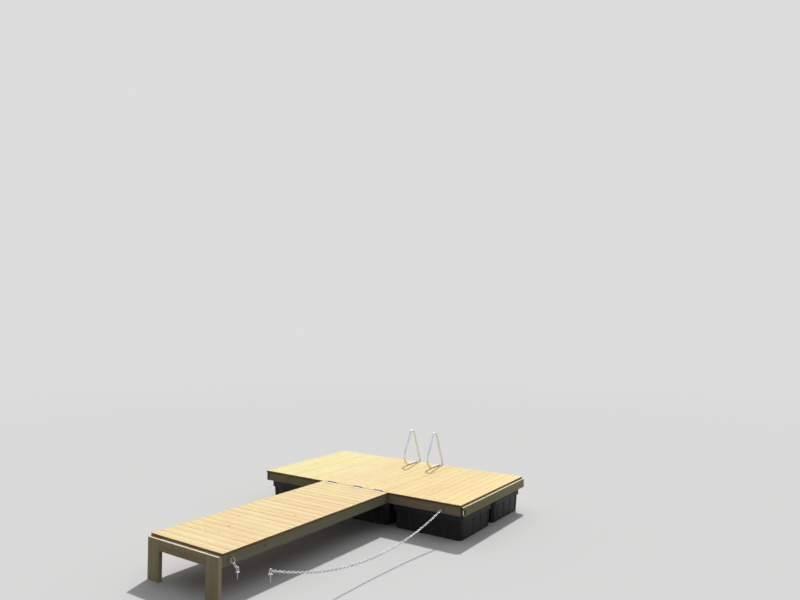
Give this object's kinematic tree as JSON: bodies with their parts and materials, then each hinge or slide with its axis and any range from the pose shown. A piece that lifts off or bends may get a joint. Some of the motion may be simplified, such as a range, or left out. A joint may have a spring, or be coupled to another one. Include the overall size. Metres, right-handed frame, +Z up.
{
  "type": "floating wooden jetty",
  "caption": "T-shaped floating jetty: a plank platform on moulded floats, a hinged gangway to the bank, a mooring chain with anchor eyes and a bent-tube swim ladder.",
  "frame": {"origin": "on the floor, under the centre of the middle front float", "axes": "+X along the platform to the right as seen from the bank, +Y from the bank to the lake, +Z up"},
  "size_m": [3.6, 5.158, 1.08],
  "materials": {
    "deck_pine": "new planed pine, bare",
    "frame_pine": "new sawn pine, bare",
    "float": "black moulded plastic",
    "galvanised": "dull galvanised steel",
    "ladder_tube": "satin steel tube",
    "chain": "bright galvanised steel"
  },
  "bodies": {
    "platform": {"platform_front_beam": "frame_pine", "platform_rear_beam": "frame_pine", "platform_front_joist": "frame_pine", "platform_rear_joist": "frame_pine", "platform_left_end_board": "frame_pine", "platform_right_end_board": "frame_pine", "platform_planks": "deck_pine", "float_front_left": "float", "float_front_middle": "float", "float_front_right": "float", "float_rear_left": "float", "float_rear_middle": "float", "float_rear_right": "float", "corner_bar": "galvanised", "ladder_left_rail": "ladder_tube", "ladder_right_rail": "ladder_tube", "ladder_upper_step": "ladder_tube", "ladder_lower_step": "ladder_tube", "left_hinge_platform_leaf": "galvanised", "middle_hinge_platform_leaf": "galvanised", "right_hinge_platform_leaf": "galvanised", "left_hinge_pin": "galvanised", "middle_hinge_pin": "galvanised", "right_hinge_pin": "galvanised", "left_mooring_plate": "galvanised", "right_mooring_plate": "galvanised", "chain_level_links": "chain", "chain_upright_links": "chain", "mooring_anchor_eye": "chain"},
    "gangway": {"gangway_left_beam": "frame_pine", "gangway_right_beam": "frame_pine", "gangway_middle_beam": "frame_pine", "gangway_shore_board": "frame_pine", "gangway_lake_board": "frame_pine", "gangway_planks": "deck_pine", "left_hinge_gangway_leaf": "galvanised", "middle_hinge_gangway_leaf": "galvanised", "right_hinge_gangway_leaf": "galvanised", "left_shore_leg": "frame_pine", "right_shore_leg": "frame_pine", "shore_mooring_plate": "galvanised", "shore_ring": "chain", "shore_chain": "chain", "shore_anchor_eye": "chain"}
  },
  "joints": [
    {"name": "gangway_hinge", "type": "hinge", "parent": "platform", "child": "gangway", "pos_m": [0, -0.521, 0.509], "axis": [1, 0, 0], "range_deg": [-12, 8]}
  ]
}
